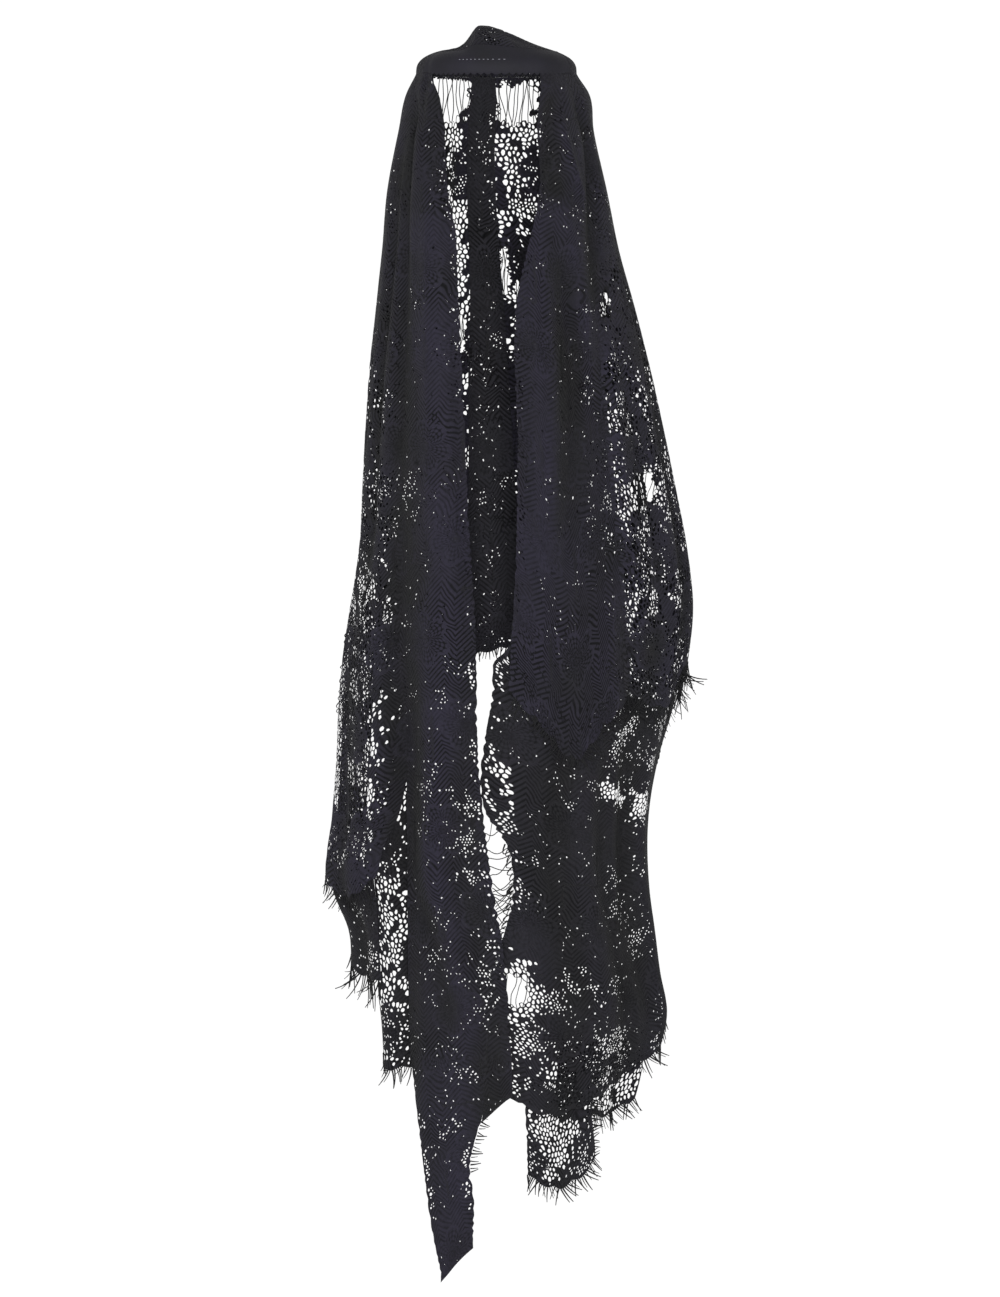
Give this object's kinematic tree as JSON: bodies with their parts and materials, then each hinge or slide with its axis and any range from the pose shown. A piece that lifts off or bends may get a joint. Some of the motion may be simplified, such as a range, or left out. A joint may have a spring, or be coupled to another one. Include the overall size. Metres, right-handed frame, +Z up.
{
  "type": "mantilla",
  "caption": "Black lace mantilla hung hollow as worn over a head, open at the face, with long front falls, a pointed tail and eyelash-fringed hems.",
  "frame": {"origin": "at the top of the wearer's head, inside the crown and under its gathered peak, where the head holds the veil up", "axes": "+Z up along the fall of the cloth, -Y towards the face opening, +X towards the right of the front view"},
  "size_m": [0.4028, 0.2222, 1.3788],
  "materials": {
    "lace_outer": "black lace with a faint blue-violet sheen where it is lit",
    "lace_inner": "neutral black lace, matt",
    "band": "close, smooth black band with a row of stitches",
    "fringe": "fine black eyelash threads"
  },
  "bodies": {
    "root": {"crown": "lace_outer", "front_band": "band", "left_front_fall": "lace_outer", "left_tail": "lace_outer", "centre_corner": "lace_outer", "left_side_fall": "lace_outer", "back_fall": "lace_outer", "back_pleat": "lace_inner", "right_side_fall": "lace_outer", "right_front_fall": "lace_outer", "left_under_fall": "lace_inner", "left_net_fall": "lace_inner", "right_under_fall": "lace_inner", "right_lower_fall": "lace_inner", "right_flap": "lace_inner", "left_side_fringe": "fringe", "left_under_fringe": "fringe", "left_net_fringe": "fringe", "back_fringe": "fringe", "right_side_fringe": "fringe", "right_under_fringe": "fringe", "right_lower_fringe": "fringe", "right_flap_fringe": "fringe"}
  },
  "joints": []
}
